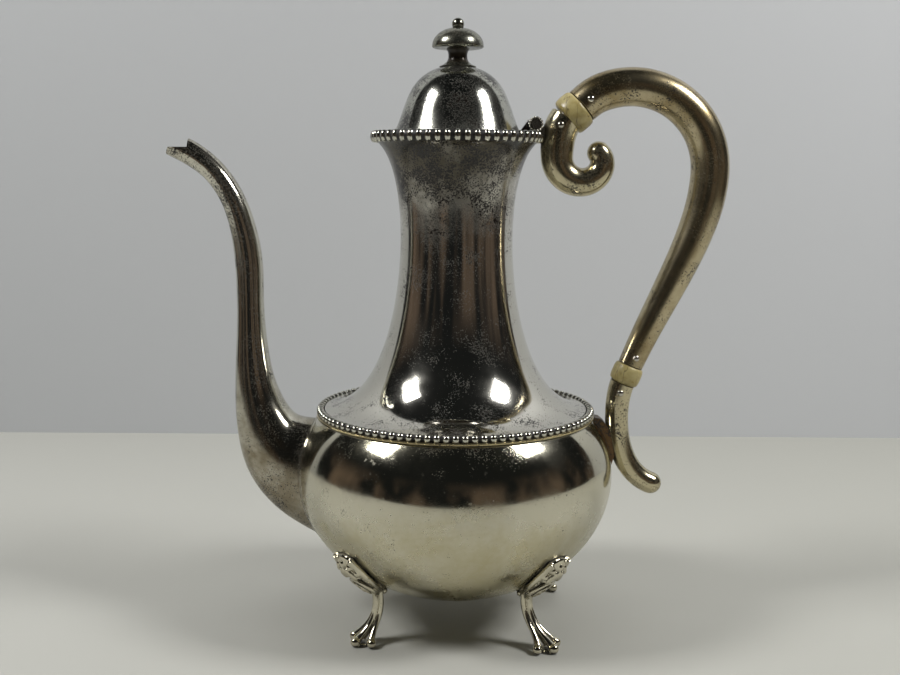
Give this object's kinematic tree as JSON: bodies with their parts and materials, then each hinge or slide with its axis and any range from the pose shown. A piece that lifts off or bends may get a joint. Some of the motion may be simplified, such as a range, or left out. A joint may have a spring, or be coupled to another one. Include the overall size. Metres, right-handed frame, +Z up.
{
  "type": "footed coffee pot",
  "caption": "Footed silver coffee pot with a round lower body, trumpet neck, hinged domed lid, S spout and a scrolled handle set in pale insulators.",
  "frame": {"origin": "centre of the footprint's box on the table, directly under the middle of the whole part; the pot's axis is 3.1 mm toward the handle", "axes": "+Z up along the pot's axis, -X toward the spout, +X toward the handle, -Y toward the viewer"},
  "size_m": [0.1983, 0.114, 0.2167],
  "materials": {
    "silver": "polished, aged",
    "worn_silver": "polished, yellowed by tarnish",
    "bone": "satin, finely cracked"
  },
  "bodies": {
    "pot": {"globe": "silver", "neck": "silver", "shoulder_strip": "worn_silver", "shoulder_beads": "silver", "mouth_ring": "silver", "rim_beads": "silver", "spout": "silver", "spout_collar": "worn_silver", "rim_lug": "worn_silver", "upper_socket": "worn_silver", "upper_insulator": "bone", "upper_socket_pin": "silver", "upper_grip_pin": "silver", "grip": "worn_silver", "lower_grip_pin": "silver", "lower_insulator": "bone", "lower_socket_pin": "silver", "lower_socket": "worn_silver", "lower_bracket": "worn_silver", "foot_front_left": "silver", "foot_front_right": "silver", "foot_back_left": "silver", "foot_back_right": "silver", "hinge_leaf": "silver", "hinge_pin": "silver"},
    "lid": {"lid_dome": "silver", "lid_bezel": "silver", "lid_leaf": "silver", "finial_collar": "silver", "finial_stem": "silver", "finial_cap": "silver", "finial_ball": "silver", "finial_nut": "worn_silver"}
  },
  "joints": [
    {"name": "lid_hinge", "type": "hinge", "parent": "pot", "child": "lid", "pos_m": [0.03, 0, 0.1804], "axis": [0, 1, 0], "range_deg": [0, 80]}
  ]
}
